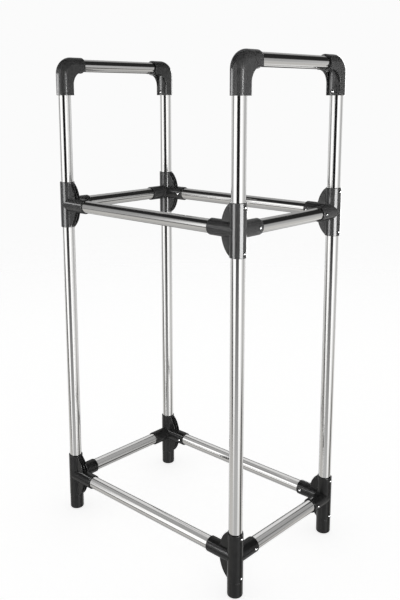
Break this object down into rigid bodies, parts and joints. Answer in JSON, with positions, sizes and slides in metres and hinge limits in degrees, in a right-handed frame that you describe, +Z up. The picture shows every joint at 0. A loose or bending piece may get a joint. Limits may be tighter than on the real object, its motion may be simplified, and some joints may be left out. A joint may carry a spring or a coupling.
{
  "type": "tyre storage rack",
  "caption": "Two-tier free-standing rack of polished steel tubes in plastic corner connectors with sprung snap buttons; tyres rest upright across each pair of long rails.",
  "frame": {"origin": "on the floor under the centre of the rack", "axes": "+X along the long rails, +Y across the rack from front to back, +Z up"},
  "size_m": [0.6312, 0.4086, 1.2503],
  "materials": {
    "tube": "bright polished steel with fine drawn lines",
    "connector": "dark satin moulded plastic",
    "foot": "dark satin moulded plastic",
    "button": "bright zinc-plated steel",
    "spring": "plain spring strip"
  },
  "bodies": {
    "root": {"base_connector_back_left": "connector", "base_connector_back_right": "connector", "base_connector_front_left": "connector", "base_connector_front_right": "connector", "elbow_back_left": "connector", "elbow_back_right": "connector", "elbow_front_left": "connector", "elbow_front_right": "connector", "foot_back_left": "foot", "foot_back_right": "foot", "foot_front_left": "foot", "foot_front_right": "foot", "lower_long_rail_back": "tube", "lower_long_rail_front": "tube", "lower_post_back_left": "tube", "lower_post_back_right": "tube", "lower_post_front_left": "tube", "lower_post_front_right": "tube", "lower_side_rail_left": "tube", "lower_side_rail_right": "tube", "middle_connector_back_left": "connector", "middle_connector_back_right": "connector", "middle_connector_front_left": "connector", "middle_connector_front_right": "connector", "snap_springs": "spring", "top_bar_left": "tube", "top_bar_right": "tube", "upper_long_rail_back": "tube", "upper_long_rail_front": "tube", "upper_post_back_left": "tube", "upper_post_back_right": "tube", "upper_post_front_left": "tube", "upper_post_front_right": "tube", "upper_side_rail_left": "tube", "upper_side_rail_right": "tube"},
    "base_buttons_front_left": {"base_buttons_front_left": "button"},
    "base_long_rail_button_front_left": {"base_long_rail_button_front_left": "button"},
    "middle_buttons_front_left": {"middle_buttons_front_left": "button"},
    "middle_long_rail_button_front_left": {"middle_long_rail_button_front_left": "button"},
    "elbow_post_button_front_left": {"elbow_post_button_front_left": "button"},
    "elbow_bar_button_front_left": {"elbow_bar_button_front_left": "button"},
    "base_buttons_front_right": {"base_buttons_front_right": "button"},
    "base_long_rail_button_front_right": {"base_long_rail_button_front_right": "button"},
    "middle_buttons_front_right": {"middle_buttons_front_right": "button"},
    "middle_long_rail_button_front_right": {"middle_long_rail_button_front_right": "button"},
    "elbow_post_button_front_right": {"elbow_post_button_front_right": "button"},
    "elbow_bar_button_front_right": {"elbow_bar_button_front_right": "button"},
    "base_buttons_back_left": {"base_buttons_back_left": "button"},
    "base_long_rail_button_back_left": {"base_long_rail_button_back_left": "button"},
    "middle_buttons_back_left": {"middle_buttons_back_left": "button"},
    "middle_long_rail_button_back_left": {"middle_long_rail_button_back_left": "button"},
    "elbow_post_button_back_left": {"elbow_post_button_back_left": "button"},
    "elbow_bar_button_back_left": {"elbow_bar_button_back_left": "button"},
    "base_buttons_back_right": {"base_buttons_back_right": "button"},
    "base_long_rail_button_back_right": {"base_long_rail_button_back_right": "button"},
    "middle_buttons_back_right": {"middle_buttons_back_right": "button"},
    "middle_long_rail_button_back_right": {"middle_long_rail_button_back_right": "button"},
    "elbow_post_button_back_right": {"elbow_post_button_back_right": "button"},
    "elbow_bar_button_back_right": {"elbow_bar_button_back_right": "button"}
  },
  "joints": [
    {"name": "base_buttons_front_left_press", "type": "slide", "parent": "root", "child": "base_buttons_front_left", "axis": [1, 0, 0], "range_m": [0, 0.0058], "stiffness_N_per_m": 2400, "springref_m": -0.004, "deforming": ["snap_springs"]},
    {"name": "base_long_rail_button_front_left_press", "type": "slide", "parent": "root", "child": "base_long_rail_button_front_left", "axis": [0, -1, 0], "range_m": [0, 0.0058], "stiffness_N_per_m": 800, "springref_m": -0.004, "deforming": ["snap_springs"]},
    {"name": "middle_buttons_front_left_press", "type": "slide", "parent": "root", "child": "middle_buttons_front_left", "axis": [1, 0, 0], "range_m": [0, 0.0058], "stiffness_N_per_m": 2400, "springref_m": -0.004, "deforming": ["snap_springs"]},
    {"name": "middle_long_rail_button_front_left_press", "type": "slide", "parent": "root", "child": "middle_long_rail_button_front_left", "axis": [0, -1, 0], "range_m": [0, 0.0058], "stiffness_N_per_m": 800, "springref_m": -0.004, "deforming": ["snap_springs"]},
    {"name": "elbow_post_button_front_left_press", "type": "slide", "parent": "root", "child": "elbow_post_button_front_left", "axis": [0, -1, 0], "range_m": [0, 0.0058], "stiffness_N_per_m": 800, "springref_m": -0.004, "deforming": ["snap_springs"]},
    {"name": "elbow_bar_button_front_left_press", "type": "slide", "parent": "root", "child": "elbow_bar_button_front_left", "axis": [0, 0, 1], "range_m": [0, 0.0058], "stiffness_N_per_m": 800, "springref_m": -0.004, "deforming": ["snap_springs"]},
    {"name": "base_buttons_front_right_press", "type": "slide", "parent": "root", "child": "base_buttons_front_right", "axis": [-1, 0, 0], "range_m": [0, 0.0058], "stiffness_N_per_m": 2400, "springref_m": -0.004, "deforming": ["snap_springs"]},
    {"name": "base_long_rail_button_front_right_press", "type": "slide", "parent": "root", "child": "base_long_rail_button_front_right", "axis": [0, -1, 0], "range_m": [0, 0.0058], "stiffness_N_per_m": 800, "springref_m": -0.004, "deforming": ["snap_springs"]},
    {"name": "middle_buttons_front_right_press", "type": "slide", "parent": "root", "child": "middle_buttons_front_right", "axis": [-1, 0, 0], "range_m": [0, 0.0058], "stiffness_N_per_m": 2400, "springref_m": -0.004, "deforming": ["snap_springs"]},
    {"name": "middle_long_rail_button_front_right_press", "type": "slide", "parent": "root", "child": "middle_long_rail_button_front_right", "axis": [0, -1, 0], "range_m": [0, 0.0058], "stiffness_N_per_m": 800, "springref_m": -0.004, "deforming": ["snap_springs"]},
    {"name": "elbow_post_button_front_right_press", "type": "slide", "parent": "root", "child": "elbow_post_button_front_right", "axis": [0, -1, 0], "range_m": [0, 0.0058], "stiffness_N_per_m": 800, "springref_m": -0.004, "deforming": ["snap_springs"]},
    {"name": "elbow_bar_button_front_right_press", "type": "slide", "parent": "root", "child": "elbow_bar_button_front_right", "axis": [0, 0, 1], "range_m": [0, 0.0058], "stiffness_N_per_m": 800, "springref_m": -0.004, "deforming": ["snap_springs"]},
    {"name": "base_buttons_back_left_press", "type": "slide", "parent": "root", "child": "base_buttons_back_left", "axis": [1, 0, 0], "range_m": [0, 0.0058], "stiffness_N_per_m": 2400, "springref_m": -0.004, "deforming": ["snap_springs"]},
    {"name": "base_long_rail_button_back_left_press", "type": "slide", "parent": "root", "child": "base_long_rail_button_back_left", "axis": [0, 1, 0], "range_m": [0, 0.0058], "stiffness_N_per_m": 800, "springref_m": -0.004, "deforming": ["snap_springs"]},
    {"name": "middle_buttons_back_left_press", "type": "slide", "parent": "root", "child": "middle_buttons_back_left", "axis": [1, 0, 0], "range_m": [0, 0.0058], "stiffness_N_per_m": 2400, "springref_m": -0.004, "deforming": ["snap_springs"]},
    {"name": "middle_long_rail_button_back_left_press", "type": "slide", "parent": "root", "child": "middle_long_rail_button_back_left", "axis": [0, 1, 0], "range_m": [0, 0.0058], "stiffness_N_per_m": 800, "springref_m": -0.004, "deforming": ["snap_springs"]},
    {"name": "elbow_post_button_back_left_press", "type": "slide", "parent": "root", "child": "elbow_post_button_back_left", "axis": [0, 1, 0], "range_m": [0, 0.0058], "stiffness_N_per_m": 800, "springref_m": -0.004, "deforming": ["snap_springs"]},
    {"name": "elbow_bar_button_back_left_press", "type": "slide", "parent": "root", "child": "elbow_bar_button_back_left", "axis": [0, 0, 1], "range_m": [0, 0.0058], "stiffness_N_per_m": 800, "springref_m": -0.004, "deforming": ["snap_springs"]},
    {"name": "base_buttons_back_right_press", "type": "slide", "parent": "root", "child": "base_buttons_back_right", "axis": [-1, 0, 0], "range_m": [0, 0.0058], "stiffness_N_per_m": 2400, "springref_m": -0.004, "deforming": ["snap_springs"]},
    {"name": "base_long_rail_button_back_right_press", "type": "slide", "parent": "root", "child": "base_long_rail_button_back_right", "axis": [0, 1, 0], "range_m": [0, 0.0058], "stiffness_N_per_m": 800, "springref_m": -0.004, "deforming": ["snap_springs"]},
    {"name": "middle_buttons_back_right_press", "type": "slide", "parent": "root", "child": "middle_buttons_back_right", "axis": [-1, 0, 0], "range_m": [0, 0.0058], "stiffness_N_per_m": 2400, "springref_m": -0.004, "deforming": ["snap_springs"]},
    {"name": "middle_long_rail_button_back_right_press", "type": "slide", "parent": "root", "child": "middle_long_rail_button_back_right", "axis": [0, 1, 0], "range_m": [0, 0.0058], "stiffness_N_per_m": 800, "springref_m": -0.004, "deforming": ["snap_springs"]},
    {"name": "elbow_post_button_back_right_press", "type": "slide", "parent": "root", "child": "elbow_post_button_back_right", "axis": [0, 1, 0], "range_m": [0, 0.0058], "stiffness_N_per_m": 800, "springref_m": -0.004, "deforming": ["snap_springs"]},
    {"name": "elbow_bar_button_back_right_press", "type": "slide", "parent": "root", "child": "elbow_bar_button_back_right", "axis": [0, 0, 1], "range_m": [0, 0.0058], "stiffness_N_per_m": 800, "springref_m": -0.004, "deforming": ["snap_springs"]}
  ]
}
